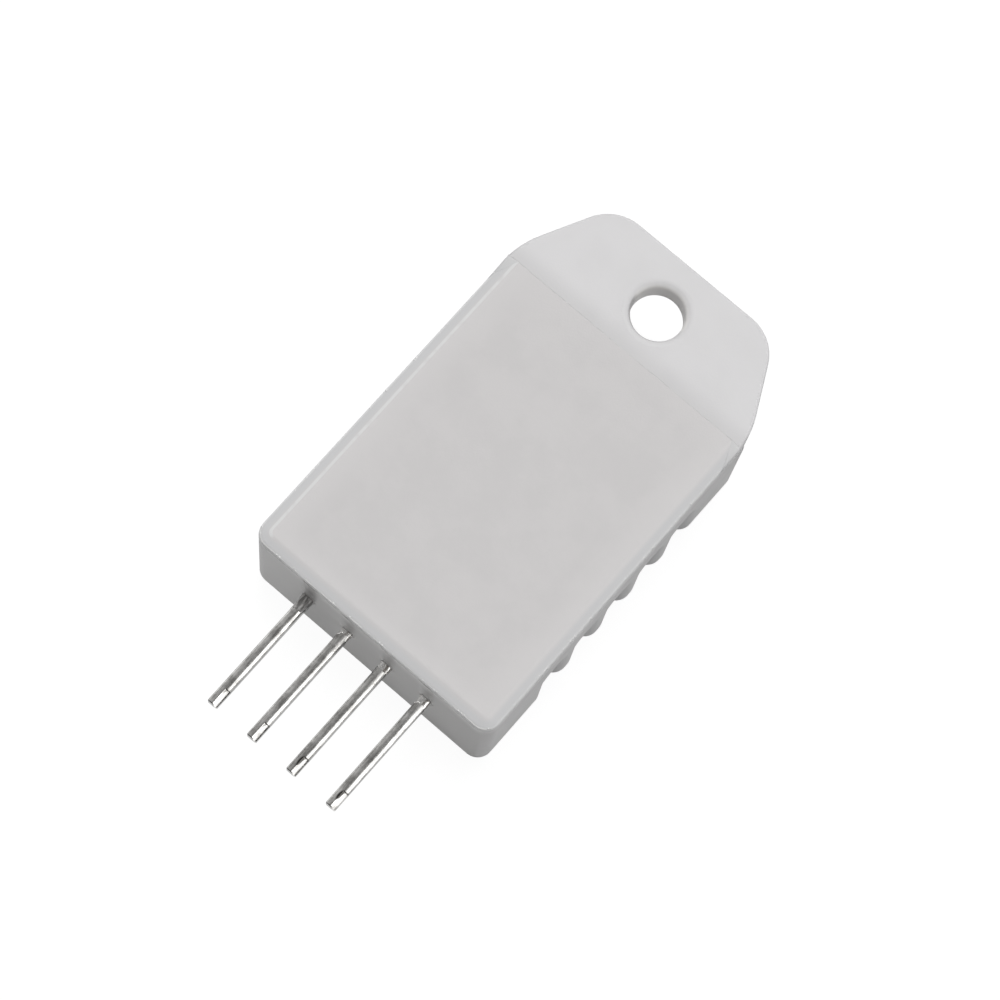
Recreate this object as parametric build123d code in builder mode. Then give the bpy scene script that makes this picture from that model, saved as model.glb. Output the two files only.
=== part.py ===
from build123d import *
import os

# Temperature and humidity sensor module with four pins, in millimetres.
# It lies with its grille down: X across the case, +Y from the pins to the tab,
# +Z out of the plain back. The origin is under the middle of the whole length,
# on the surface that the ribs of the grille rest on.

os.makedirs("parts", exist_ok=True)

# Case
case_width = 15.1
body_length = 20.1
case_thickness = 7.7
side_wall = 1.2
front_wall = 1.2
edge_radius = 0.4
end_corner_flat = 0.25

# Mounting tab
tab_reach = 4.6
tab_thickness = 1.6
tab_end_width = 10.26
tab_corner_radius = 2.4
tab_edge_radius = 0.15
shoulder_setback = 0.2
shoulder_radius = 5.0
hole_diameter = 2.76
hole_to_tab_end = 2.92
hole_back_radius = 0.45
hole_front_radius = 0.2

# Grille of slots that wrap round both sides
slot_count = 5
slot_pitch = 2.48
slot_width = 0.67
slot_depth = 4.0
rib_flat = 0.2
grille_offset = 0.35
tie_spacing = 5.1
tie_width = 0.9
tie_recess = 0.7
tie_thickness = 1.1

# Back cover
flange_thickness = 0.45
plug_thickness = 0.6
plug_clearance = 0.1
cover_inset = 0.01
seam_gap = 0.02
seam_to_end_wall = 0.95
bevel_width = 0.63
bevel_drop = 0.19
bevel_corner_radius = 0.2
bevel_crease_radius = 0.5
cover_edge_radius = 0.25

# Pins
pin_count = 4
pin_pitch = 2.54
pin_size = 0.6
pin_corner_radius = 0.13
pin_reach = 7.1
pin_on_board = 2.6
pin_tip_chamfer = 0.04
pin_bottom = 4.37
tip_flat_length = 1.0
tip_flat_width = 0.3
tip_flat_drop = 0.17
notch_clearance = 0.15
sealant_recess = 0.015

# Circuit board
board_thickness = 0.8
board_clearance = 0.15
board_corner_radius = 0.4
post_width = 0.9
post_length = 2.6

# Solder round each pin
solder_width = 1.3
solder_height = 0.42
solder_margin = 0.25

# Humidity element
plate_width = 5.4
plate_length = 8.0
plate_thickness = 0.6
plate_corner_radius = 0.2
plate_standoff = 0.7
plate_to_board_side = 1.3
plate_to_grille_centre = 0.6
leg_width = 0.9
leg_length = 0.8
leg_spacing = 2.8
leg_to_plate_end = 0.3

# Thermistor
bead_diameter = 1.5
bead_length = 2.5
bead_flat = 0.3
bead_to_board_side = 2.0
bead_to_grille_centre = 1.0
bead_standoff = 0.25
lead_diameter = 0.25
lead_spacing = 0.6
lead_bend_radius = 0.4
lead_reach = 1.5

# Controller chip
chip_width = 3.9
chip_length = 4.9
chip_height = 1.45
chip_standoff = 0.1
chip_draft = 8.0
chip_to_board_centre = 1.2
chip_lead_count = 4
chip_lead_pitch = 1.27
chip_lead_width = 0.42
chip_lead_thickness = 0.2
chip_lead_bend = 0.15
chip_lead_foot = 0.5
chip_lead_shoulder = 0.35
chip_lead_reach = 1.05

# Chip capacitors and resistors
passive_length = 1.6
passive_width = 0.8
capacitor_height = 0.8
resistor_height = 0.5
end_cap_length = 0.3
end_cap_wrap = 0.04
capacitor_to_chip = 2.4
resistor_to_chip = 2.4

# Worked out from the sizes above
case_height = body_length + tab_reach
pin_wall_y = pin_reach - (pin_reach + case_height) / 2
tab_level = case_thickness - tab_thickness
end_corner_radius = edge_radius + end_corner_flat
corner_radius = bevel_width + bevel_corner_radius + cover_inset
shoulder_y = body_length - shoulder_setback
hole_y = case_height - hole_to_tab_end
hole_radius = hole_diameter / 2
rib_width = slot_pitch - slot_width
rib_radius = (min(rib_width, 2 * side_wall) - rib_flat) / 2
grille_y = body_length / 2 + grille_offset
slot_middles = [grille_y + slot_pitch * (n - (slot_count - 1) / 2) for n in range(slot_count)]
grille_span = slot_pitch * (slot_count - 1) + slot_width
cavity_width = case_width - 2 * side_wall
cavity_start = side_wall
cavity_end = body_length - side_wall
cover_seat = case_thickness - flange_thickness
cover_end = body_length - seam_to_end_wall
board_back = pin_bottom
board_front = pin_bottom - board_thickness
board_width = cavity_width - 2 * board_clearance
board_start = cavity_start + board_clearance
board_end = cavity_end - board_clearance
board_middle = (board_start + board_end) / 2
pin_xs = [pin_pitch * (n - (pin_count - 1) / 2) for n in range(pin_count)]
notch_width = pin_size + 2 * notch_clearance


def level(height):
    """Plane at a height above the rest surface, with Y counted from the pin wall."""
    return Plane(origin=(0, pin_wall_y, height))


def keep(part, name):
    """Label a finished piece and write it."""
    part.label = name
    export_step(part, f"parts/{name}.step")
    return part


def across(x, y, height):
    """Upright plane across the case that faces the pins' side, with Z upwards in it."""
    return Plane(origin=(x, pin_wall_y + y, height), x_dir=(1, 0, 0), z_dir=(0, -1, 0))


def back_outline(inset=0.0):
    """Outline of the case seen from the back, with its shoulders and the tab."""
    half = case_width / 2 - inset
    tab_half = tab_end_width / 2
    with BuildSketch() as outline:
        with BuildLine():
            Polyline(
                (-half, inset),
                (half, inset),
                (half, shoulder_y),
                (tab_half, case_height),
                (-tab_half, case_height),
                (-half, shoulder_y),
                close=True,
            )
        make_face()
        fillet(outline.vertices().group_by(Axis.Y)[-1], tab_corner_radius)
        fillet(outline.vertices().group_by(Axis.Y)[1], shoulder_radius)
        fillet(outline.vertices().group_by(Axis.Y)[0], corner_radius - inset)
    return outline.sketch


case_outline = back_outline()
cover_outline = back_outline(cover_inset)

# Front case: the body is a box below the level of the tab, with the grille cut through
# its front and both sides, and the tab's plate lies over it and carries the hole.
with BuildPart() as front_case:
    with BuildSketch(level(0)) as body_outline:
        with Locations((0, body_length / 2)):
            Rectangle(case_width, body_length)
        fillet(body_outline.vertices().group_by(Axis.Y)[-1], end_corner_radius)
        fillet(body_outline.vertices().group_by(Axis.Y)[0], corner_radius)
    extrude(amount=tab_level)

    # Cavity
    with BuildSketch(level(front_wall)):
        with Locations((0, (cavity_start + cavity_end) / 2)):
            Rectangle(cavity_width, cavity_end - cavity_start)
    extrude(amount=tab_level, mode=Mode.SUBTRACT)

    # Slots, with full-round ends on both sides
    with BuildSketch(Plane.YZ):
        with Locations(*[(pin_wall_y + y, 0) for y in slot_middles]):
            SlotOverall(2 * slot_depth, slot_width, rotation=90)
    extrude(amount=case_width, both=True, mode=Mode.SUBTRACT)

    # The ribs are rounded on the sides until only a narrow flat is left on each
    side_mouths = ShapeList()
    for side in (-case_width / 2, case_width / 2):
        side_mouths += front_case.edges().filter_by_position(Axis.X, side, side).filter_by_position(
            Axis.Y, pin_wall_y + grille_y - grille_span, pin_wall_y + grille_y + grille_span
        ).filter_by_position(Axis.Z, 0, slot_depth, inclusive=(False, True))
    fillet(side_mouths, rib_radius)

    # Every edge of the front is rounded alike, the slots' edges too
    fillet(front_case.edges().filter_by_position(Axis.Z, 0, 0), edge_radius)

    # Tab's plate over the body, with a hole whose two edges are rounded
    with BuildSketch(level(tab_level)):
        add(case_outline)
    extrude(amount=tab_thickness)
    with BuildSketch(level(tab_level)):
        with Locations((0, (cavity_start + cavity_end) / 2)):
            Rectangle(cavity_width, cavity_end - cavity_start)
    extrude(amount=tab_thickness, mode=Mode.SUBTRACT)
    with BuildSketch(level(cover_seat)):
        with Locations((0, (cover_end - case_height) / 2)):
            Rectangle(2 * case_width, cover_end + case_height)
    extrude(amount=case_thickness, mode=Mode.SUBTRACT)
    tab_rim = front_case.faces().sort_by(Axis.Z)[-1].edges().sort_by(Axis.Y)[1:]
    fillet(tab_rim, tab_edge_radius)
    with BuildSketch(across(0, hole_y, tab_level)):
        with BuildLine():
            front_edge = Line((0, 0), (hole_radius + hole_front_radius, 0))
            front_arc = TangentArc(
                front_edge @ 1, (hole_radius, hole_front_radius), tangent=(-1, 0)
            )
            bore = Line(front_arc @ 1, (hole_radius, tab_thickness - hole_back_radius))
            back_arc = TangentArc(
                bore @ 1, (hole_radius + hole_back_radius, tab_thickness), tangent=(0, 1)
            )
            Polyline(back_arc @ 1, (0, tab_thickness), (0, 0))
        make_face()
    revolve(axis=Axis((0, pin_wall_y + hole_y, 0), (0, 0, 1)), mode=Mode.SUBTRACT)

    # Ties that join the ribs behind the slots
    with BuildSketch(level(tie_recess)):
        with GridLocations(tie_spacing, 0, 2, 1):
            with Locations((0, grille_y)):
                Rectangle(tie_width, grille_span + rib_width)
    extrude(amount=tie_thickness)

    # Corner posts that carry the board
    with BuildSketch(level(front_wall)):
        post_x = (cavity_width - post_width) / 2
        post_y = (cavity_end - cavity_start - post_length) / 2
        with Locations((0, (cavity_start + cavity_end) / 2)):
            with GridLocations(2 * post_x, 2 * post_y, 2, 2):
                Rectangle(post_width, post_length)
    extrude(amount=board_front - front_wall)

    # Notches for the pins, open to the back
    with BuildSketch(level(pin_bottom)):
        with Locations(*[(x, 0) for x in pin_xs]):
            Rectangle(notch_width, 2 * side_wall)
    extrude(amount=case_thickness, mode=Mode.SUBTRACT)

keep(front_case.part, "front_case")

# Back cover: a flange with a bevelled border lies on the walls, and a plug drops between them.
with BuildPart() as back_cover:
    with BuildSketch(level(cover_seat)):
        add(cover_outline)
        with Locations((0, (cover_end - seam_gap - case_height) / 2)):
            Rectangle(2 * case_width, cover_end - seam_gap + case_height, mode=Mode.INTERSECT)
    extrude(amount=flange_thickness)
    border = back_cover.faces().sort_by(Axis.Z)[-1].edges().sort_by(Axis.Y)[:-1]
    chamfer(border, bevel_width, bevel_drop, reference=back_cover.faces().sort_by(Axis.Z)[-1])
    fillet(back_cover.faces().sort_by(Axis.Z)[-1].edges().sort_by(Axis.Y)[:-1], bevel_crease_radius)
    rim_height = case_thickness - bevel_drop
    rim = back_cover.edges().filter_by_position(Axis.Z, rim_height, rim_height)
    fillet(rim, min(cover_edge_radius, flange_thickness - bevel_drop))
    with BuildSketch(level(cover_seat)):
        with Locations((0, (cavity_start + cavity_end) / 2)):
            Rectangle(cavity_width - 2 * plug_clearance, cavity_end - cavity_start - 2 * plug_clearance)
    extrude(amount=-plug_thickness)

keep(back_cover.part, "back_cover")

# Pins: straight square wire with rounded corners, cut square at the tip, where a short
# slanting flat is struck on one upper edge
pin_length = pin_reach + cavity_start + board_clearance + pin_on_board
pins = []
for number, x in enumerate(pin_xs, start=1):
    with BuildPart() as pin:
        with BuildSketch(across(x, -pin_reach, pin_bottom)):
            RectangleRounded(pin_size, pin_size, pin_corner_radius, align=(Align.CENTER, Align.MIN))
        extrude(amount=-pin_length)
        chamfer(pin.faces().sort_by(Axis.Y)[0].edges(), pin_tip_chamfer)
        with BuildSketch(across(x, -pin_reach, pin_bottom)):
            with BuildLine():
                Polyline(
                    (pin_size / 2, pin_size),
                    (pin_size / 2 - tip_flat_width, pin_size),
                    (pin_size / 2, pin_size - tip_flat_drop),
                    close=True,
                )
            make_face()
        extrude(amount=-tip_flat_length, mode=Mode.SUBTRACT)
    pins.append(keep(pin.part, f"pin_{number}"))

# Sealant fills each notch round its pin, up to the cover
for number, (x, pin) in enumerate(zip(pin_xs, pins), start=1):
    with BuildPart() as sealant:
        with BuildSketch(level(pin_bottom)):
            with Locations((x, (sealant_recess + side_wall) / 2)):
                Rectangle(notch_width, side_wall - sealant_recess)
        extrude(amount=cover_seat - pin_bottom)
        add(pin, mode=Mode.SUBTRACT)
    keep(sealant.part, f"pin_sealant_{number}")

# Circuit board on the corner posts
with BuildPart() as circuit_board:
    with BuildSketch(level(board_front)):
        with Locations((0, board_middle)):
            RectangleRounded(board_width, board_end - board_start, board_corner_radius)
    extrude(amount=board_thickness)
keep(circuit_board.part, "circuit_board")

# Solder on both sides of each pin and past its end
solder_length = pin_on_board
for number, (x, pin) in enumerate(zip(pin_xs, pins), start=1):
    with BuildPart() as solder:
        with BuildSketch(across(x, board_start + solder_margin, board_back)):
            with BuildLine():
                Line((-solder_width / 2, 0), (solder_width / 2, 0))
                ThreePointArc((solder_width / 2, 0), (0, solder_height), (-solder_width / 2, 0))
            make_face()
        extrude(amount=-solder_length)
        add(pin, mode=Mode.SUBTRACT)
    keep(solder.part, f"pin_solder_{number}")

# Humidity element: a ceramic plate held off the board's grille side by two legs at one end
plate_back = board_front - plate_standoff
plate_x = plate_to_board_side + (plate_width - board_width) / 2
plate_y = grille_y + plate_to_grille_centre
with BuildPart() as humidity_plate:
    with BuildSketch(level(plate_back)):
        with Locations((plate_x, plate_y)):
            RectangleRounded(plate_width, plate_length, plate_corner_radius)
    extrude(amount=-plate_thickness)
keep(humidity_plate.part, "humidity_plate")

leg_y = plate_y - plate_length / 2 + leg_to_plate_end + leg_length / 2
for number, side in enumerate((-1, 1), start=1):
    with BuildPart() as leg:
        with BuildSketch(level(plate_back)):
            with Locations((plate_x + side * leg_spacing / 2, leg_y)):
                Rectangle(leg_width, leg_length)
        extrude(amount=plate_standoff)
    keep(leg.part, f"humidity_leg_{number}")

# Thermistor: two bent wires stand on the board and end inside a bead
bead_axis = board_front - bead_standoff - bead_diameter / 2
bead_x = board_width / 2 - bead_to_board_side
bead_y = grille_y + bead_to_grille_centre
wire_y = bead_y - bead_length / 2 - lead_reach
for number, side in enumerate((-1, 1), start=1):
    with BuildPart() as lead:
        with BuildLine(Plane.YZ.offset(bead_x + side * lead_spacing / 2)) as wire:
            FilletPolyline(
                (pin_wall_y + wire_y, board_front),
                (pin_wall_y + wire_y, bead_axis),
                (pin_wall_y + bead_y, bead_axis),
                radius=lead_bend_radius,
            )
        with BuildSketch(Plane(origin=wire.line @ 0, z_dir=wire.line % 0)):
            Circle(lead_diameter / 2)
        sweep()
    keep(lead.part, f"thermistor_lead_{number}")

with BuildPart() as thermistor_bead:
    with BuildSketch(Plane.YZ.offset(bead_x)):
        with Locations((pin_wall_y + bead_y, bead_axis)):
            Ellipse(bead_length / 2, bead_diameter / 2)
        with Locations((pin_wall_y + bead_y + bead_length / 2, bead_axis)):
            Rectangle(
                bead_length - bead_flat,
                bead_diameter,
                align=(Align.MAX, Align.MIN),
                mode=Mode.INTERSECT,
            )
    revolve(axis=Axis((bead_x, 0, bead_axis), (0, 1, 0)))
    with BuildSketch(across(bead_x, bead_y, bead_axis)):
        with GridLocations(lead_spacing, 0, 2, 1):
            Circle(lead_diameter / 2)
    extrude(amount=bead_length, mode=Mode.SUBTRACT)
keep(thermistor_bead.part, "thermistor_bead")

# Controller chip on the back of the board, with a row of gull-wing leads on each side
chip_y = board_middle + chip_to_board_centre
chip_middle = board_back + chip_standoff + chip_height / 2
shoulder_x = chip_width / 2 + chip_lead_shoulder
toe_x = chip_width / 2 + chip_lead_reach
with BuildPart() as controller_leads:
    for n in range(chip_lead_count):
        lead_y = chip_y + chip_lead_pitch * (n - (chip_lead_count - 1) / 2)
        with BuildSketch(across(0, lead_y + chip_lead_width / 2, 0)):
            with BuildLine():
                FilletPolyline(
                    (chip_width / 2 - chip_lead_shoulder, chip_middle),
                    (shoulder_x, chip_middle),
                    (toe_x - chip_lead_foot, board_back + chip_lead_thickness / 2),
                    (toe_x, board_back + chip_lead_thickness / 2),
                    radius=chip_lead_bend,
                )
            trace(line_width=chip_lead_thickness)
            mirror(about=Plane.YZ)
        extrude(amount=chip_lead_width)
keep(controller_leads.part, "controller_leads")

with BuildPart() as controller_body:
    with BuildSketch(level(chip_middle)):
        with Locations((0, chip_y)):
            Rectangle(chip_width, chip_length)
    extrude(amount=chip_height / 2, both=True, taper=chip_draft)
    add(controller_leads.part, mode=Mode.SUBTRACT)
keep(controller_body.part, "controller_body")

# Chip capacitors and resistors: a ceramic body between two end caps that sit on the board,
# midway between the chip's leads and the board's side
passive_x = (toe_x + board_width / 2) / 2
passives = [
    ("capacitor_1", -passive_x, chip_y - capacitor_to_chip, capacitor_height),
    ("capacitor_2", passive_x, chip_y - capacitor_to_chip, capacitor_height),
    ("resistor_1", -passive_x, chip_y + resistor_to_chip, resistor_height),
    ("resistor_2", passive_x, chip_y + resistor_to_chip, resistor_height),
]
core_length = passive_length - 2 * end_cap_length
for name, x, y, height in passives:
    with BuildPart() as core:
        with BuildSketch(level(board_back + end_cap_wrap)):
            with Locations((x, y)):
                Rectangle(passive_width - 2 * end_cap_wrap, core_length)
        extrude(amount=height - 2 * end_cap_wrap)
    keep(core.part, f"{name}_body")
    with BuildPart() as caps:
        with BuildSketch(level(board_back)):
            with Locations((x, y)):
                with GridLocations(0, core_length + end_cap_length, 1, 2):
                    Rectangle(passive_width, end_cap_length)
        extrude(amount=height)
    keep(caps.part, f"{name}_end_caps")
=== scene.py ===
import math

import bpy
from mathutils import Matrix, Vector, noise


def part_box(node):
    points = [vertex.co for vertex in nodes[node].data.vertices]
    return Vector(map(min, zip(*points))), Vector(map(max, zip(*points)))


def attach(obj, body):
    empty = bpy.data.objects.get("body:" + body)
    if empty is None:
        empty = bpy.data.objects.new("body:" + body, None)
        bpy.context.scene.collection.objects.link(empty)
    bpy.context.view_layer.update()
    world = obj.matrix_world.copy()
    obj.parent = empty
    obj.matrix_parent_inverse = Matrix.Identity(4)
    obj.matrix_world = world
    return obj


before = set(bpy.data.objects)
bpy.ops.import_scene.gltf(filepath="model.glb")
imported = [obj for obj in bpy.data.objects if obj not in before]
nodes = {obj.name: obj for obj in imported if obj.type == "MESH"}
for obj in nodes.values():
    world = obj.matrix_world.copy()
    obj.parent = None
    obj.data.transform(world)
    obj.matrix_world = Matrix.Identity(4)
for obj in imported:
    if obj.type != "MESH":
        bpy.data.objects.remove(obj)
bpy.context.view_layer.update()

# Front case: one white moulding with the grille, the walls and the mounting tab. It is satin
# plastic from a polished tool. Its pin wall is greyed by flux over each pin, painted a lighter
# white than the tab with a painted highlight along its top edge, and has painted shade between
# the pins and towards the bottom. The lower sides, the tab beside the seam and the hole's rim on
# the pin side have painted shade, and the hole's wall has painted light.


class Value:
    """A socket of a node tree, with the arithmetic that the finishes and shapes use."""

    def __init__(self, owner, socket):
        self.owner = owner
        self.socket = socket

    def arithmetic(self, operation, first, second=None, clamp=False):
        sockets = {0: first} if second is None else {0: first, 1: second}
        settings = {"operation": operation, "use_clamp": clamp}
        return self.owner.node("ShaderNodeMath", settings, sockets)

    def __add__(self, other):
        return self.arithmetic("ADD", self, other)

    def __radd__(self, other):
        return self.arithmetic("ADD", other, self)

    def __sub__(self, other):
        return self.arithmetic("SUBTRACT", self, other)

    def __rsub__(self, other):
        return self.arithmetic("SUBTRACT", other, self)

    def __mul__(self, other):
        return self.arithmetic("MULTIPLY", self, other)

    def __rmul__(self, other):
        return self.arithmetic("MULTIPLY", other, self)

    def __truediv__(self, other):
        return self.arithmetic("DIVIDE", self, other)

    def __abs__(self):
        return self.arithmetic("ABSOLUTE", self)

    def root(self):
        return self.arithmetic("SQRT", self)

    def within(self):
        return self.arithmetic("ADD", self, 0.0, clamp=True)

    def cycle(self):
        """The part after the decimal point, which repeats once per unit."""
        return self.arithmetic("FRACT", self)

    def ramp(self, low, high):
        """0 below low, 1 above high and smooth between them."""
        settings = {"interpolation_type": "SMOOTHSTEP"}
        sockets = {"Value": self, "From Min": low, "From Max": high}
        return self.owner.node("ShaderNodeMapRange", settings, sockets)


class NodeTree:
    """A node tree whose nodes are all added by node()."""

    def __init__(self, tree):
        self.tree = tree

    def node(self, kind, settings=None, sockets=None, out=0):
        made = self.tree.nodes.new(kind)
        for name, value in (settings or {}).items():
            setattr(made, name, value)
        for key, value in (sockets or {}).items():
            if isinstance(value, Value):
                self.tree.links.new(value.socket, made.inputs[key])
            else:
                made.inputs[key].default_value = value
        return Value(self, made.outputs[out])

    def vector(self, operation, first, second):
        return self.node("ShaderNodeVectorMath", {"operation": operation}, {0: first, 1: second})

    def parts(self, vector):
        return [self.node("ShaderNodeSeparateXYZ", {}, {0: vector}, out=axis) for axis in "XYZ"]


class Finish(NodeTree):
    """A material with one shader."""

    def __init__(self, name, constants):
        self.material = bpy.data.materials.new(name)
        self.material.use_nodes = True
        super().__init__(self.material.node_tree)
        self.shader = self.tree.nodes["Principled BSDF"]
        for socket, value in constants.items():
            self.shader.inputs[socket].default_value = value

    def place(self):
        """Object coordinates in millimetres."""
        coordinates = self.node("ShaderNodeTexCoord", out="Object")
        return self.vector("MULTIPLY", coordinates, (1000.0, 1000.0, 1000.0))

    def grain(self, point, size, detail=2.0, stretch=(1.0, 1.0, 1.0), roughness=0.5):
        """Noise of about size millimetres, longer along an axis whose stretch is above 1."""
        scaled = self.vector("MULTIPLY", point, tuple(1.0 / (size * factor) for factor in stretch))
        sockets = {"Vector": scaled, "Scale": 1.0, "Detail": detail, "Roughness": roughness}
        return self.node("ShaderNodeTexNoise", {}, sockets)

    def blend(self, factor, low, high):
        """Colour that goes from low to high as factor goes from 0 to 1."""
        made = self.tree.nodes.new("ShaderNodeMix")
        made.data_type = "RGBA"
        for socket, value in ((made.inputs[0], factor), (made.inputs[6], low), (made.inputs[7], high)):
            if isinstance(value, Value):
                self.tree.links.new(value.socket, socket)
            elif isinstance(value, tuple):
                socket.default_value = (*value, 1.0)
            else:
                socket.default_value = value
        return Value(self, made.outputs[2])

    def relief(self, height, depth_mm):
        """Normal of a surface whose height goes from 0 to depth_mm."""
        sockets = {"Height": height, "Distance": depth_mm / 1000.0, "Strength": 1.0}
        return self.node("ShaderNodeBump", {}, sockets)

    def feed(self, base_color, roughness=None, normal=None, metallic=None):
        given = {"Base Color": base_color, "Roughness": roughness, "Normal": normal, "Metallic": metallic}
        for socket, value in given.items():
            if value is not None:
                self.tree.links.new(value.socket, self.shader.inputs[socket])


def wear(node_names, finish):
    """Put a finish on CAD nodes."""
    for name in node_names:
        mesh = nodes[name].data
        mesh.materials.clear()
        mesh.materials.append(finish.material)


def millimetres(node_name):
    """Lowest and highest corners of a CAD node in millimetres."""
    return [corner * 1000.0 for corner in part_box(node_name)]


case_low, case_high = millimetres("front_case")
case_half, pin_wall_y, back_z = case_high.x, case_low.y, case_high.z
lid_gap = 0.01
seam_y = millimetres("back_cover")[1].y + lid_gap
first_pin_low, first_pin_high = millimetres("pin_1")
pin_pitch = millimetres("pin_2")[0].x - first_pin_low.x
shade_start_x, past_first_pin_x = -6.6, -3.0
flux_half, flux_foot_z, flux_end_x = 0.62, 4.7, 4.5
wall_joint_z, top_edge_z = 7.13, 6.85
hole_middle, hole_reach, rim_reach = (0.0, 12.98), 1.62, 1.52

wall_white = (0.774, 0.766, 0.772)
pin_wall_lit_white = (0.83, 0.825, 0.82)
top_edge_highlight_white = (0.98, 0.975, 0.97)
soil_and_shade_grey = (0.35, 0.345, 0.34)
hole_light_white = (0.97, 0.955, 0.94)


def beside_pin(x):
    """Distance in X from the middle of the nearest pin."""
    return ((x / pin_pitch + 100.0).cycle() - 0.5) * pin_pitch


def past_first_pin(x):
    """0 at the first pin and 1 at the other three."""
    return x.ramp(past_first_pin_x, past_first_pin_x + 0.4)


def wall_tone(finish, point, x, z):
    """White of the pin wall, painted lighter than the tab, with a painted highlight along its top edge,
    painted shade between the pins and towards the bottom, a dark joint line and flux over each pin.
    """
    # Painted shade over the pin wall from its left end inward. It deepens towards the bottom and fades at
    # the top.
    painted_shade_between_pins = x.ramp(shade_start_x, past_first_pin_x) * (0.32 + (7.0 - z) * 0.035)
    painted_shade_between_pins = painted_shade_between_pins * (1.0 - z.ramp(6.2, 7.2) * 0.8)
    uneven_joint = finish.grain(point, 0.5, detail=3.0).ramp(0.50, 0.60)
    joint_line = z.ramp(wall_joint_z, wall_joint_z + 0.05) * uneven_joint * 0.25
    over_row = (1.0 - abs(x).ramp(flux_end_x, flux_end_x + 0.4)) * z.ramp(flux_foot_z, flux_foot_z + 0.5)
    over_pin = (flux_half - abs(beside_pin(x))).ramp(0.0, 0.45) * over_row
    smoke = finish.grain(point, 0.4, detail=4.0, stretch=(0.7, 1.0, 1.6)).ramp(0.25, 0.75)
    flux = over_pin * (0.12 + smoke * 0.2) * (2.3 - past_first_pin(x) * 1.3)
    # Painted shade: darker towards the bottom on the right half of the wall.
    low = x.ramp(-2.0, 2.0) * (1.0 - z.ramp(0.3, 2.2)) * 0.12
    # Painted light: the pin wall is a lighter white than the tab, with a painted highlight along its top
    # edge.
    painted_lit_wall = finish.blend(z.ramp(top_edge_z, top_edge_z + 0.3) * 0.8, pin_wall_lit_white, top_edge_highlight_white)
    return finish.blend((painted_shade_between_pins + joint_line + flux + low).within(), painted_lit_wall, soil_and_shade_grey)


case_plastic = Finish("case_plastic", {"Specular IOR Level": 0.2})
point = case_plastic.place()
x, y, z = case_plastic.parts(point)
to_hole_x = x - hole_middle[0]
to_hole_y = y - hole_middle[1]
from_hole = (to_hole_x * to_hole_x + to_hole_y * to_hole_y).root()
# Painted light on the hole's wall.
painted_hole_light = (hole_reach - from_hole).ramp(0.0, 0.2) * to_hole_y.ramp(-0.3, 0.3)
# Painted shade on the tab beside the seam.
painted_seam_shade = (1.0 - y.ramp(seam_y, seam_y + 1.2)) * z.ramp(back_z - 0.4, back_z - 0.1) * 0.19
cloud = case_plastic.grain(point, 2.5, detail=3.0).ramp(0.4, 0.75) * 0.05
# Painted shade on the sides, below their top edge.
painted_side_shade = (abs(x) - 6.0).ramp(0.0, 1.2) * (1.0 - z.ramp(6.3, 7.2)) * 0.26
# Painted shade at the hole's rim on the pin side.
to_pin_side = 0.0 - to_hole_y * 0.9 - to_hole_x * 0.45
painted_rim_shade = (rim_reach - from_hole).ramp(0.0, 0.08) * to_pin_side.ramp(0.3, 0.9) * 0.6
on_tab = case_plastic.blend((painted_seam_shade + cloud + painted_side_shade + painted_rim_shade).within(), wall_white, soil_and_shade_grey)
on_pin_wall = (pin_wall_y + 0.2 - y).ramp(0.0, 0.15)
outside = case_plastic.blend(on_pin_wall, on_tab, wall_tone(case_plastic, point, x, z))
case_plastic.feed(
    base_color=case_plastic.blend(painted_hole_light, outside, hole_light_white),
    roughness=0.40 + case_plastic.grain(point, 1.2) * 0.14,
    normal=case_plastic.relief(case_plastic.grain(point, 0.12, detail=3.0), 0.003),
)
wear(["front_case"], case_plastic)

# Back cover: a separate white lid, welded on. Its panel has the fine matt grain of an
# eroded tool. The bevelled border round it is smooth, with a painted highlight along the left
# crease and painted shade on its right side, and its rounded rim has painted light.

panel_white = (0.685, 0.670, 0.669)
panel_shade = (0.655, 0.642, 0.641)
panel_edge_white = (0.714, 0.699, 0.698)
border_white = (0.668, 0.668, 0.674)
shaded_border_white = (0.636, 0.636, 0.642)
rim_light_white = (0.95, 0.95, 0.95)
crease_highlight_white = (0.785, 0.785, 0.785)
rim_foot_z, rim_top_z = 7.26, 7.46
left_crease_x, right_border_x = -6.8, 6.6

cover_plastic = Finish("cover_plastic", {"Specular IOR Level": 0.4})
point = cover_plastic.place()
x, y, z = cover_plastic.parts(point)
on_panel = z.ramp(back_z - 0.1, back_z - 0.01)
on_crease = z.ramp(back_z - 0.05, back_z - 0.03) * (1.0 - z.ramp(back_z - 0.007, back_z - 0.001))
# Painted light on the lid's rounded rim, which turns away from the lamp.
painted_rim_light = z.ramp(rim_foot_z, rim_foot_z + 0.05) * (1.0 - z.ramp(rim_top_z, rim_top_z + 0.11))
cloud = cover_plastic.grain(point, 2.2, detail=5.0, roughness=0.6)
grain = cover_plastic.grain(point, 0.09, detail=2.0)
speck = cover_plastic.grain(point, 0.3, detail=3.0).ramp(0.68, 0.8)
tone = cover_plastic.blend(cloud.ramp(0.35, 0.65) * 0.8 + speck * 0.2, panel_white, panel_shade)
# Painted shade on the border's right side.
right_border_shade = x.ramp(right_border_x, right_border_x + 0.4)
border_tone = cover_plastic.blend(right_border_shade, border_white, shaded_border_white)
edge_tone = cover_plastic.blend(painted_rim_light, border_tone, rim_light_white)
# The panel is a little lighter beside the border, and half as much beside the tab.
inside_ends = (1.0 - y.ramp(9.0, 10.3) * 0.5) * (1.0 - (0.0 - y).ramp(7.0, 8.3))
beside_border = 1.0 - (1.0 - abs(x).ramp(5.2, 7.1)) * inside_ends
panel_tone = cover_plastic.blend(beside_border * 0.85, tone, panel_edge_white)
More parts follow.
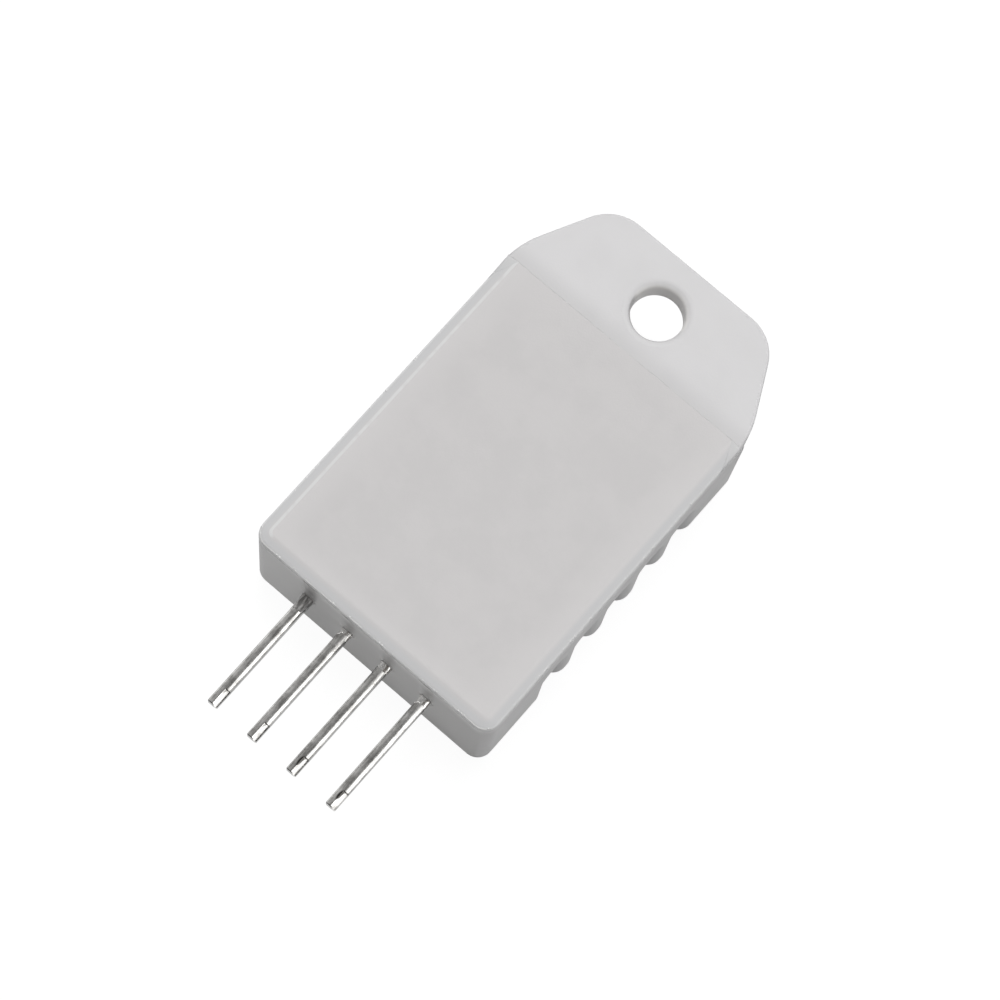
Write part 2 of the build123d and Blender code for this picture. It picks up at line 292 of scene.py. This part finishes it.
# Painted highlight along the left crease, broken by noise.
left_crease = on_crease * (1.0 - x.ramp(left_crease_x, left_crease_x + 0.2))
painted_crease_highlight = left_crease * cover_plastic.grain(point, 0.5, detail=3.0).ramp(0.15, 0.55)
tone_without_highlight = cover_plastic.blend(on_panel, edge_tone, panel_tone)
cover_plastic.feed(
    base_color=cover_plastic.blend(painted_crease_highlight, tone_without_highlight, crease_highlight_white),
    roughness=0.40 + on_panel * 0.14 + cloud * 0.06 - on_crease * 0.16,
    normal=cover_plastic.relief(grain * on_panel + grain * 0.2, 0.004),
)
wear(["back_cover"], cover_plastic)

# Seam flash: a hair of plastic that the weld has pressed into the joint between the lid
# and the tab, thinner in some places than in others.

seam_sink = 0.018
steps_inward = (0.015, 0.03, 0.05, 0.08, 0.12, 0.19, 0.3, 0.45, 0.6, 0.75, 1.2)
bevel_foot_z, bevel_rise = 7.51, 0.3016
lid_round, lid_round_inward, lid_round_z, lid_round_end = 0.25, 0.26, 7.324, 0.188
tab_round = 0.15


def lid_height(inward):
    """Height of the lid's bevelled and rounded edge at a distance inward from the case's side."""
    if inward < lid_round_end:
        return lid_round_z + math.sqrt(lid_round ** 2 - (lid_round_inward - inward) ** 2)
    return min(back_z, bevel_foot_z + (inward - lid_gap) * bevel_rise)


def tab_height(inward):
    """Height of the tab's rounded edge at a distance inward from the case's side."""
    to_flat = tab_round - min(tab_round, inward)
    return back_z - tab_round + math.sqrt(tab_round ** 2 - to_flat ** 2)


class Recipe(NodeTree):
    """A geometry tree with named sizes, which makes one piece along a path."""

    def __init__(self, name, sizes):
        super().__init__(bpy.data.node_groups.new(name, "GeometryNodeTree"))
        self.name = name
        self.sizes = sizes
        face = self.tree.interface
        face.new_socket("Path", in_out="INPUT", socket_type="NodeSocketGeometry")
        for label, size in sizes.items():
            kind = "NodeSocketInt" if isinstance(size, int) else "NodeSocketFloat"
            face.new_socket(label, in_out="INPUT", socket_type=kind)
        face.new_socket("Piece", in_out="OUTPUT", socket_type="NodeSocketGeometry")
        given = self.tree.nodes.new("NodeGroupInput")
        self.given = {socket.name: Value(self, socket) for socket in given.outputs if socket.name}

    def make(self, path_points, shape, finish):
        """Run the tree on a path in millimetres and keep what it makes as a plain mesh."""
        smooth = self.node("GeometryNodeRealizeInstances", {}, {0: shape})
        smooth = self.node("GeometryNodeSetShadeSmooth", {}, {0: smooth})
        dressed = self.node("GeometryNodeSetMaterial", {}, {0: smooth, "Material": finish.material})
        self.tree.links.new(dressed.socket, self.tree.nodes.new("NodeGroupOutput").inputs[0])
        path = bpy.data.meshes.new(self.name)
        edges = [(number, number + 1) for number in range(len(path_points) - 1)]
        path.from_pydata([Vector(place) / 1000.0 for place in path_points], edges, [])
        piece = bpy.data.objects.new(self.name, path)
        bpy.context.scene.collection.objects.link(piece)
        growth = piece.modifiers.new(self.name, "NODES")
        growth.node_group = self.tree
        for item in self.tree.interface.items_tree:
            if item.name in self.sizes:
                growth[item.identifier] = self.sizes[item.name]
        graph = bpy.context.evaluated_depsgraph_get()
        plain = bpy.data.meshes.new_from_object(piece.evaluated_get(graph), depsgraph=graph)
        # The new mesh may bring an empty slot along, so it gets its one finish afresh.
        plain.materials.clear()
        plain.materials.append(finish.material)
        plain.polygons.foreach_set("material_index", [0] * len(plain.polygons))
        piece.modifiers.clear()
        piece.data = plain
        return piece


flash_white, flash_shade = (0.74, 0.735, 0.73), (0.66, 0.655, 0.65)

flash_plastic = Finish("flash_plastic", {"Specular IOR Level": 0.5})
uneven = flash_plastic.grain(flash_plastic.place(), 0.4, detail=3.0)
flash_plastic.feed(
    base_color=flash_plastic.blend(uneven.ramp(0.4, 0.7), flash_white, flash_shade),
    roughness=0.25 + uneven * 0.2,
    normal=flash_plastic.relief(uneven, 0.01),
)

bumps_per_metre = 1400.0


def uneven_line(recipe):
    """Round line of flash along the recipe's path, thinner in some places than in others."""
    given = recipe.given
    path = recipe.node("GeometryNodeMeshToCurve", {}, {0: given["Path"]})
    sampled = {"Curve": path, "Length": given["Step"]}
    path = recipe.node("GeometryNodeResampleCurve", {"mode": "LENGTH"}, sampled)
    where = recipe.node("GeometryNodeInputPosition")
    sockets = {"Vector": where, "W": given["Seed"], "Scale": bumps_per_metre, "Detail": 2.0}
    bumps = recipe.node("ShaderNodeTexNoise", {"noise_dimensions": "4D"}, sockets)
    swell = 1.0 - bumps.ramp(0.38, 0.62) * given["Unevenness"]
    ring = recipe.node("GeometryNodeCurvePrimitiveCircle", {}, {"Resolution": 8, "Radius": given["Radius"]})
    sockets = {"Curve": path, "Profile Curve": ring, "Scale": swell, "Fill Caps": True}
    return recipe.node("GeometryNodeCurveToMesh", {}, sockets)


seam_flash = Recipe("seam_flash", {"Radius": 0.0000175, "Step": 0.00008, "Unevenness": 0.4, "Seed": 5})
left_end = [(inward - case_half, seam_y, lid_height(inward) - seam_sink) for inward in steps_inward]
right_end = [(-along, toward, height) for along, toward, height in reversed(left_end)]
seam = seam_flash.make(left_end + right_end, uneven_line(seam_flash), flash_plastic)
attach(seam, "root")

# Seam fillets: plastic of the weld that levels the lid's bevel with the tab where they meet
# at each side. It thins out along the border.

fillet_white = (0.70, 0.698, 0.70)

fillet_plastic = Finish("fillet_plastic", {"Specular IOR Level": 0.3})
point = fillet_plastic.place()
near_seam = fillet_plastic.parts(point)[1].ramp(seam_y - 1.5, seam_y)
# Away from the seam the fillets take the border's painted-shade white.
fillet_plastic.feed(
    base_color=fillet_plastic.blend(near_seam, shaded_border_white, fillet_white),
    roughness=0.42 + fillet_plastic.grain(point, 0.5) * 0.1,
    normal=fillet_plastic.relief(fillet_plastic.grain(point, 0.3, detail=3.0), 0.006),
)


def closed_piece(name, rings, finish, around):
    """Closed mesh through rings of points in millimetres, joined end to end when around is true."""
    count = len(rings[0])
    points = [place / 1000.0 for ring in rings for place in ring]
    faces = []
    for row in range(len(rings) if around else len(rings) - 1):
        for column in range(count):
            after, below = (column + 1) % count, (row + 1) % len(rings)
            faces.append((
                row * count + column,
                row * count + after,
                below * count + after,
                below * count + column,
            ))
    if not around:
        faces.append(tuple(reversed(range(count))))
        faces.append(tuple(range((len(rings) - 1) * count, len(rings) * count)))
    mesh = bpy.data.meshes.new(name)
    mesh.from_pydata(points, [], faces)
    mesh.materials.append(finish.material)
    mesh.polygons.foreach_set("use_smooth", [True] * len(mesh.polygons))
    mesh.update()
    piece = bpy.data.objects.new(name, mesh)
    bpy.context.scene.collection.objects.link(piece)
    return piece


fillet_reach, fillet_overlap = 8.0, 0.008
fillet_start, fillet_width, fillet_rows, row_crowding = 0.014, 0.60, 20, 1.6
fillet_sink, thinnest = 0.006, 0.003
fillet_profile = (
    (0.0, 1.0), (0.15, 0.93), (0.3, 0.78), (0.5, 0.5), (0.7, 0.22), (0.85, 0.08), (1.0, 0.012),
    (1.0, -0.2), (0.0, -0.2),
)

for side, end_name in ((-1, "left"), (1, "right")):
    rings = []
    for row in range(fillet_rows + 1):
        inward = fillet_start + fillet_width * (row / fillet_rows) ** row_crowding
        foot = lid_height(inward)
        rise = max(thinnest, tab_height(inward) - fillet_sink - foot)
        ring = []
        for out, up in fillet_profile:
            toward = seam_y + fillet_overlap - fillet_reach * rise * out
            ring.append(Vector((side * (case_half - inward), toward, foot + rise * up)))
        rings.append(ring)
    fillet = closed_piece(f"seam_fillet_{end_name}", rings[::-side], fillet_plastic, around=False)
    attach(fillet, "root")

# Weld beads: tiny drops of plastic that the weld has pushed out of the joint all round the
# lid. They lie on the lid's rounded rim.

joint_inset, joint_corner, corner_steps = 0.078, 0.77, 6
joint_half = case_half - joint_inset
joint_front, joint_end = pin_wall_y + joint_inset, seam_y - 0.3

joint_path = [(-joint_half, joint_end)]
for side, turns in ((-1, range(corner_steps + 1)), (1, range(corner_steps, -1, -1))):
    for turn in turns:
        angle = math.radians(90 * turn / corner_steps)
        along = side * (joint_half - joint_corner + joint_corner * math.cos(angle))
        joint_path.append((along, joint_front + joint_corner - joint_corner * math.sin(angle)))
joint_path.append((joint_half, joint_end))

bead_height, bead_share = 7.495, 0.30
bead_lowest, bead_highest = (0.0, 0.0, -0.00004), (0.0, 0.0, 0.00003)
weld_beads = Recipe(
    "weld_beads", {"Count": 300, "Smallest": 0.25, "Largest": 1.0, "Radius": 0.00006, "Seed": 11}
)
given = weld_beads.given


def drawn(settings, sockets, out=0):
    """Value drawn by chance for each bead."""
    return weld_beads.node("FunctionNodeRandomValue", settings, {**sockets, "Seed": given["Seed"]}, out)


path = weld_beads.node("GeometryNodeMeshToCurve", {}, {0: given["Path"]})
path = weld_beads.node("GeometryNodeResampleCurve", {}, {"Curve": path, "Count": given["Count"]})
chance = drawn({"data_type": "BOOLEAN"}, {"Probability": bead_share}, out=3)
size = drawn({}, {2: given["Smallest"], 3: given["Largest"]}, out=1)
shift = drawn({"data_type": "FLOAT_VECTOR"}, {0: bead_lowest, 1: bead_highest})
drop = weld_beads.node("GeometryNodeMeshIcoSphere", {}, {"Radius": given["Radius"], "Subdivisions": 2})
path = weld_beads.node("GeometryNodeSetPosition", {}, {"Geometry": path, "Offset": shift})
placed = weld_beads.node(
    "GeometryNodeInstanceOnPoints",
    {},
    {"Points": path, "Selection": chance, "Instance": drop, "Scale": size},
)

# The beads' white is lighter than the lid's, as a painted glint.
glint_white, bead_shade = (0.92, 0.92, 0.92), (0.84, 0.84, 0.83)

bead_plastic = Finish("bead_plastic", {})
point = bead_plastic.place()
bead_plastic.feed(
    base_color=bead_plastic.blend(bead_plastic.grain(point, 0.2), glint_white, bead_shade),
    roughness=0.08 + bead_plastic.grain(point, 0.3) * 0.15,
)
bead_path = [(along, toward, bead_height) for along, toward in joint_path]
beads = weld_beads.make(bead_path, placed, bead_plastic)
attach(beads, "root")

# Weld rib: the thicker, uneven line that the weld has left under the lid's edge on the pin
# side, where the notches let the plastic flow.

rib_height, rib_stand = 7.44, 0.006
pin_side_points = [(along, toward) for along, toward in joint_path if toward < pin_wall_y + 0.5]
rib_path = [(along, toward - rib_stand, rib_height) for along, toward in pin_side_points]

weld_rib = Recipe("weld_rib", {"Radius": 0.000058, "Step": 0.00012, "Unevenness": 0.55, "Seed": 8})
rib = weld_rib.make(rib_path, uneven_line(weld_rib), flash_plastic)
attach(rib, "root")

# Pins: straight tinned wire pressed to a rounded square and cropped at the end. The tin is
# mottled grey on top, and dark at the cut. Painted shade darkens the sides, the step before the
# cut and the tip beside its flat, and a painted dark reflection lies on the tips, mostly on the last two
# pins.

pin_names = ["pin_1", "pin_2", "pin_3", "pin_4"]
tip_y = first_pin_low.y
step_y = tip_y + 1.0
root_y = -10.8
flat_half, crown = 0.272, 0.85
reflection_middle, reflection_half = (-0.01, -15.18), (0.13, 0.36)
tin_dull = (0.36, 0.353, 0.34)
tin_bright = (0.80, 0.79, 0.77)
tin_dark = (0.05, 0.048, 0.045)

pin_metal = Finish("pin_metal", {"Metallic": 1.0})
point = pin_metal.place()
x, y = pin_metal.parts(point)[:2]
off = beside_pin(x)
mottle = pin_metal.grain(point, 0.09, detail=4.0, stretch=(1.0, 1.6, 1.0), roughness=0.6)
streak = pin_metal.grain(point, 0.07, detail=2.0, stretch=(1.0, 9.0, 1.0))
cloud = pin_metal.grain(point, 0.7, detail=3.0)
shine = (mottle * 0.25 + streak * 0.3 + cloud * 0.45).ramp(0.36, 0.64)
on_tip = (step_y + 0.02 - y).ramp(0.0, 0.02)
near_root = y.ramp(root_y, root_y + 1.4) * past_first_pin(x)
# Painted shade on the pin's sides.
side = (abs(off) - flat_half).ramp(0.0, 0.012) * (1.0 - on_tip * 0.4)
cut = (tip_y + 0.06 - y).ramp(0.0, 0.03) * (0.16 - off).ramp(0.0, 0.1)
ragged = (mottle - 0.5) * 0.7
# Painted shade in the step before the cut.
painted_step_shade = (0.06 - abs(y - step_y)).ramp(0.0, 0.05) * (off + 0.02).ramp(0.0, 0.05) * 0.7
past_step = (step_y - y).ramp(0.0, 0.35)
# Painted shade on the tip, along the left of its flat.
painted_tip_shade = on_tip * (0.17 - past_step * 0.13 - off).ramp(0.0, 0.04) * (off + 0.03).ramp(0.0, 0.05) * 0.6
# Painted dark reflection on the tip, strongest on the last two pins.
reflection_x = (off - reflection_middle[0]) / reflection_half[0]
reflection_y = (y - reflection_middle[1]) / reflection_half[1]
scorch_and_dark_reflection = (1.0 - (reflection_x * reflection_x + reflection_y * reflection_y).root() + ragged * 0.6).ramp(0.0, 0.5)
painted_dark_reflection = scorch_and_dark_reflection * (0.08 + x.ramp(0.0, 0.2) * 0.87)
dark = (side * 0.9 + cut * 0.9 + painted_step_shade + painted_tip_shade + painted_dark_reflection).within()
crowned = 0.5 - off * off * crown
pin_metal.feed(
    base_color=pin_metal.blend(dark, pin_metal.blend(shine, tin_dull, tin_bright), tin_dark),
    roughness=0.12 + mottle * 0.12 + near_root * 0.14,
    normal=pin_metal.relief(crowned + mottle * 0.0007 + streak * 0.0012, 1.0),
)
wear(pin_names, pin_metal)

# Pin sealant: resin that closes each pin's notch up to the lid, greyed by flux and by the pin
# wall's painted shade. Where it has run out round a pin, tin has crept over it, and at the first
# pin it is scorched.

sealant_names = ["pin_sealant_1", "pin_sealant_2", "pin_sealant_3", "pin_sealant_4"]
resin_clear, resin_specked = (0.93, 0.92, 0.90), (0.36, 0.33, 0.30)
resin_scorched, resin_charred = (0.55, 0.54, 0.53), (0.20, 0.195, 0.19)

sealant_resin = Finish("sealant_resin", {"Specular IOR Level": 0.3})
point = sealant_resin.place()
x, y, z = sealant_resin.parts(point)
drip = sealant_resin.grain(point, 0.16, detail=3.0, stretch=(1.0, 3.5, 1.5))
foot = (pin_wall_y - 0.035 - y).ramp(0.0, 0.04)
speck = drip.ramp(0.40, 0.60) * beside_pin(x).ramp(-0.2, 0.12)
clear = sealant_resin.blend(speck, resin_clear, resin_specked)
scorch_and_dark_reflection = sealant_resin.blend(drip.ramp(0.40, 0.58), resin_scorched, resin_charred)
stained = sealant_resin.blend(past_first_pin(x), scorch_and_dark_reflection, clear)
sealant_resin.feed(
    base_color=sealant_resin.blend(foot, wall_tone(sealant_resin, point, x, z), stained),
    roughness=0.42 - foot * 0.27 + drip * 0.1,
    normal=sealant_resin.relief(drip * foot, 0.02),
    metallic=foot * past_first_pin(x) * (1.0 - speck),
)
wear(sealant_names, sealant_resin)

# Resin collars: sealant that has run out of each notch round the foot of its pin. They thin
# out along the pin, farthest along the first one.

pin_half = (first_pin_high.x - first_pin_low.x) / 2
pin_middle_z = (first_pin_low.z + first_pin_high.z) / 2
pin_round = 0.13


def pin_section(steps=5):
    """Points round a pin's rounded square, each with its direction outwards."""
    section = []
    inner = pin_half - pin_round
    for quarter, (sign_x, sign_z) in enumerate(((1, 1), (-1, 1), (-1, -1), (1, -1))):
        for step in range(steps + 1):
            angle = math.radians(90 * quarter + 90 * step / steps)
            outwards = Vector((math.cos(angle), 0.0, math.sin(angle)))
            section.append((Vector((sign_x * inner, 0.0, sign_z * inner)) + outwards * pin_round, outwards))
    return section


collar_spread = (0.03, 0.008, 0.012, 0.012)
collar_reach = (0.85, 0.50, 0.42, 0.45)
collar_thick, collar_edge, collar_sunk, collar_rows = 0.016, 0.004, 0.02, 8
bore_share = 0.9

for number, (spread, reach) in enumerate(zip(collar_spread, collar_reach)):
    middle = Vector(((number - 1.5) * pin_pitch, pin_wall_y + collar_sunk, pin_middle_z))
    rings = []
    for row in range(collar_rows + 1):
        along = row / collar_rows
        ring = []
        for place, outwards in pin_section():
            chance = noise.noise(outwards * 1.4 + Vector((0.0, number * 5.1, 0.0)))
            lump = noise.noise(outwards * 3.0 + Vector((0.0, along * 2.0 + number * 3.3, 0.0)))
            flare = spread * (1.0 + 0.7 * chance) * (1.0 - along) ** 2
            stand = flare + collar_thick * (1.0 - along) * (1.0 + lump) + collar_edge
            length = (reach + collar_sunk) * (1.0 + 0.6 * chance) * along
            ring.append(middle + place + outwards * stand - Vector((0.0, length, 0.0)))
        rings.append(ring)
    for end in (rings[-1], rings[0]):
        bore = []
        for (place, outwards), spot in zip(pin_section(), end):
            bore.append(Vector((middle.x + place.x * bore_share, spot.y, middle.z + place.z * bore_share)))
        rings.append(bore)
    collar = closed_piece(f"resin_collar_{number + 1}", rings, sealant_resin, around=True)
    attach(collar, "root")

# Resin runs: the film of sealant between each pin and the lid, a few hundredths of a
# millimetre thick. It levels the notch with the wall and thins out on both sides.

run_half, run_low, run_high = 0.66, 4.85, 7.27
run_rows, half_columns = 24, 6
run_thick, front_sunk, back_sunk = 0.024, 0.008, 0.012

for number in range(4):
    middle_x = (number - 1.5) * pin_pitch
    rings = []
    for row in range(run_rows + 1):
        height = run_low + (run_high - run_low) * row / run_rows
        wave = noise.noise(Vector((number * 4.7, 0.0, height * 0.9)))
        half = run_half * (1.0 + 0.1 * wave)
        front, back = [], []
        for column in range(2 * half_columns + 1):
            share = column / half_columns - 1.0
            lump = noise.noise(Vector((share * 2.0, number * 6.1, height * 2.2)))
            thick = run_thick * (1.0 - share * share) * (1.0 + 0.25 * lump)
            front.append(Vector((middle_x + half * share, pin_wall_y + front_sunk - thick, height)))
            back.append(Vector((middle_x + half * share, pin_wall_y + back_sunk, height)))
        rings.append(front + back[::-1])
    run = closed_piece(f"resin_run_{number + 1}", rings, sealant_resin, around=False)
    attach(run, "root")

# Circuit board: glass laminate under a green solder mask, seen only through the grille.
# The copper tracks stand out a little under the mask.

mask_green, track_green = (0.012, 0.10, 0.035), (0.02, 0.17, 0.06)

board_laminate = Finish("board_laminate", {"Roughness": 0.25})
point = board_laminate.place()
tracks = board_laminate.node(
    "ShaderNodeTexBrick",
    {"offset": 0.4},
    {"Vector": point, "Scale": 0.8, "Mortar Size": 0.12, "Brick Width": 2.4, "Row Height": 0.7},
    out="Fac",
)
board_laminate.feed(
    base_color=board_laminate.blend(tracks, mask_green, track_green),
    normal=board_laminate.relief(tracks, 0.03),
)
wear(["circuit_board"], board_laminate)

# Solder joints: bright domes of solder that hold the pins on the board. The same finish
# dresses every tinned leg, lead and end cap inside.

solder_names = ["pin_solder_1", "pin_solder_2", "pin_solder_3", "pin_solder_4"]
solder_grey, solder_bright = (0.52, 0.52, 0.51), (0.8, 0.8, 0.78)

solder = Finish("solder", {"Metallic": 1.0, "Roughness": 0.22})
frost = solder.grain(solder.place(), 0.3, detail=3.0)
solder.feed(
    base_color=solder.blend(frost, solder_grey, solder_bright),
    normal=solder.relief(frost, 0.02),
)
wear(solder_names, solder)

# Humidity element: a white ceramic plate with a printed comb of two electrodes under a
# polymer film. It hangs from the board by two tinned legs.

comb_pitch, finger_edge, comb_half = 0.5, 0.32, (2.1, 3.2)
plate_low, plate_high = millimetres("humidity_plate")
comb_middle = (plate_low + plate_high) / 2
ceramic_white, electrode_black = (0.72, 0.71, 0.67), (0.14, 0.13, 0.12)

plate_ceramic = Finish("plate_ceramic", {})
point = plate_ceramic.place()
x, y = plate_ceramic.parts(point)[:2]
finger = abs(((y - comb_middle.y) / comb_pitch + 100.25).cycle() - 0.5)
across = (comb_half[0] - abs(x - comb_middle.x)).ramp(0.0, 0.05)
along = (comb_half[1] - abs(y - comb_middle.y)).ramp(0.0, 0.05)
comb = (finger_edge - finger).ramp(0.0, 0.05) * across * along
plate_ceramic.feed(
    base_color=plate_ceramic.blend(comb, ceramic_white, electrode_black),
    roughness=0.3 + plate_ceramic.grain(point, 0.5) * 0.2,
    normal=plate_ceramic.relief(comb, 0.015),
)
wear(["humidity_plate"], plate_ceramic)
wear(["humidity_leg_1", "humidity_leg_2"], solder)

# Thermistor: a bead dipped in black resin, on two thin tinned wires that are soldered to
# the board.

resin_black, resin_grey = (0.012, 0.014, 0.012), (0.03, 0.034, 0.03)

bead_resin = Finish("bead_resin", {"Roughness": 0.18})
ripple = bead_resin.grain(bead_resin.place(), 0.8, detail=1.0)
bead_resin.feed(
    base_color=bead_resin.blend(ripple, resin_black, resin_grey),
    normal=bead_resin.relief(ripple, 0.05),
)
wear(["thermistor_bead"], bead_resin)
wear(["thermistor_lead_1", "thermistor_lead_2"], solder)

# Controller: a chip moulded in black resin, on gull-wing leads of tinned copper that are
# soldered to the board.

chip_black, chip_grey = (0.016, 0.016, 0.017), (0.034, 0.034, 0.035)

chip_resin = Finish("chip_resin", {"Roughness": 0.55})
matt = chip_resin.grain(chip_resin.place(), 0.06, detail=2.0)
chip_resin.feed(
    base_color=chip_resin.blend(matt, chip_black, chip_grey),
    normal=chip_resin.relief(matt, 0.01),
)
wear(["controller_body"], chip_resin)
wear(["controller_leads"], solder)

# Chip capacitors and resistors: fired ceramic between tinned end caps, soldered to the
# board. The resistors have a black glazed film on top.

capacitor_brown, capacitor_tan = (0.30, 0.19, 0.10), (0.46, 0.31, 0.18)
resistor_white, film_black = (0.62, 0.60, 0.56), (0.02, 0.02, 0.022)
film_z = 4.75

capacitor_ceramic = Finish("capacitor_ceramic", {"Roughness": 0.35})
speck = capacitor_ceramic.grain(capacitor_ceramic.place(), 0.08, detail=2.0)
capacitor_ceramic.feed(base_color=capacitor_ceramic.blend(speck, capacitor_brown, capacitor_tan))
wear(["capacitor_1_body", "capacitor_2_body"], capacitor_ceramic)

resistor_film = Finish("resistor_film", {"Roughness": 0.2})
top_film = resistor_film.parts(resistor_film.place())[2].ramp(film_z, film_z + 0.05)
resistor_film.feed(base_color=resistor_film.blend(top_film, resistor_white, film_black))
wear(["resistor_1_body", "resistor_2_body"], resistor_film)

caps = [f"{name}_end_caps" for name in ("capacitor_1", "capacitor_2", "resistor_1", "resistor_2")]
wear(caps, solder)

# Table: a plain white sheet just under the grille. It is white to the camera, keeps the
# module's shadow and sends up less light than it shows.

table_half, table_top = 0.6, -0.00002
sheet_glow, glow_share = 1.09, 0.86
sheet_white, sheet_grey = (0.9, 0.9, 0.9, 1.0), (0.34, 0.34, 0.34, 1.0)

table_mesh = bpy.data.meshes.new("table")
corners = [(-table_half, -table_half, table_top), (table_half, -table_half, table_top)]
corners += [(table_half, table_half, table_top), (-table_half, table_half, table_top)]
table_mesh.from_pydata(corners, [], [(0, 1, 2, 3)])
table = bpy.data.objects.new("table", table_mesh)
bpy.context.scene.collection.objects.link(table)

table_paint = Finish("table_paint", {"Base Color": sheet_grey, "Specular IOR Level": 0.0})
seen = table_paint.node("ShaderNodeLightPath", out="Is Camera Ray")
seen = seen + table_paint.node("ShaderNodeLightPath", out="Is Glossy Ray")
seen = (seen + table_paint.node("ShaderNodeLightPath", out="Is Transmission Ray")).within()
white_sheet = table_paint.node("ShaderNodeBsdfDiffuse", {}, {"Color": sheet_white})
lit_sheet = table_paint.node(
    "ShaderNodeEmission", {}, {"Color": (1.0, 1.0, 1.0, 1.0), "Strength": sheet_glow}
)
shadowed = table_paint.node("ShaderNodeMixShader", {}, {0: glow_share, 1: white_sheet, 2: lit_sheet})
grey = Value(table_paint, table_paint.shader.outputs[0])
surface = table_paint.node("ShaderNodeMixShader", {}, {0: seen, 1: grey, 2: shadowed})
table_paint.tree.links.new(surface.socket, table_paint.tree.nodes["Material Output"].inputs["Surface"])
table_mesh.materials.append(table_paint.material)

# Room: white wherever the camera looks, with an even soft light. What shines in the tin is a
# bright window on the right and a grey ceiling.

window_level, left_level, ceiling_level, soft_level = 1.9, 0.25, 0.30, 0.30

room = bpy.data.worlds.new("room")
bpy.context.scene.world = room
room.use_nodes = True
walls = NodeTree(room.node_tree)
to_right = walls.parts(walls.node("ShaderNodeTexCoord", out="Generated"))[0]
window = to_right.ramp(0.18, 0.25)
left_wall = 1.0 - to_right.ramp(-0.7, -0.1)
reflected = ceiling_level + window * window_level + left_wall * left_level
by_camera = walls.node("ShaderNodeLightPath", out="Is Camera Ray")
by_gloss = walls.node("ShaderNodeLightPath", out="Is Glossy Ray")
strength = by_camera + by_gloss * reflected + (1.0 - (by_camera + by_gloss).within()) * soft_level
walls.tree.links.new(strength.socket, walls.tree.nodes["Background"].inputs["Strength"])
walls.tree.nodes["Background"].inputs["Color"].default_value = (1.0, 1.0, 1.0, 1.0)

# Lamps: a broad one overhead on the left, behind the tab, and a weak one low on the right.
# Only the weak one shines in the tin.


def softbox(name, towards, distance, size, level, shines):
    """Area lamp with the light level that it gives the module, and whether it shines in gloss."""
    lamp = bpy.data.lights.new(name, "AREA")
    lamp.shape = "RECTANGLE"
    lamp.size, lamp.size_y = size
    lamp.energy = level * math.pi ** 2 * distance ** 2
    holder = bpy.data.objects.new(name, lamp)
    bpy.context.scene.collection.objects.link(holder)
    direction = Vector(towards).normalized()
    holder.location = direction * distance
    holder.rotation_euler = direction.to_track_quat("Z", "Y").to_euler()
    holder.visible_glossy = shines


softbox(
    "overhead_lamp",
    towards=(-0.12, 0.27, 0.955), distance=0.6, size=(0.30, 0.30), level=0.624, shines=False,
)
softbox(
    "right_lamp",
    towards=(0.80, 0.15, 0.58), distance=0.5, size=(0.05, 0.05), level=0.02, shines=True,
)

# Camera: above the right-hand side of the pins, turned so that they point down to the left.
# Its place, its turn and its lens were fitted to the edges in the photograph.

eye_place = (0.01972, -0.03719, 0.16412)
right = Vector((0.7577, 0.6496, 0.0626))
up = Vector((-0.6416, 0.7239, 0.2537))
back = right.cross(up).normalized()
up = back.cross(right).normalized()
eye = bpy.data.cameras.new("camera")
eye.lens = 119.87
eye.sensor_width = 36.0
eye.clip_start = 0.005
camera = bpy.data.objects.new("camera", eye)
bpy.context.scene.collection.objects.link(camera)
turned = Matrix((right.normalized(), up, back)).transposed().to_4x4()
camera.matrix_world = Matrix.Translation(eye_place) @ turned
bpy.context.scene.camera = camera
bpy.context.scene.view_settings.view_transform = "Standard"
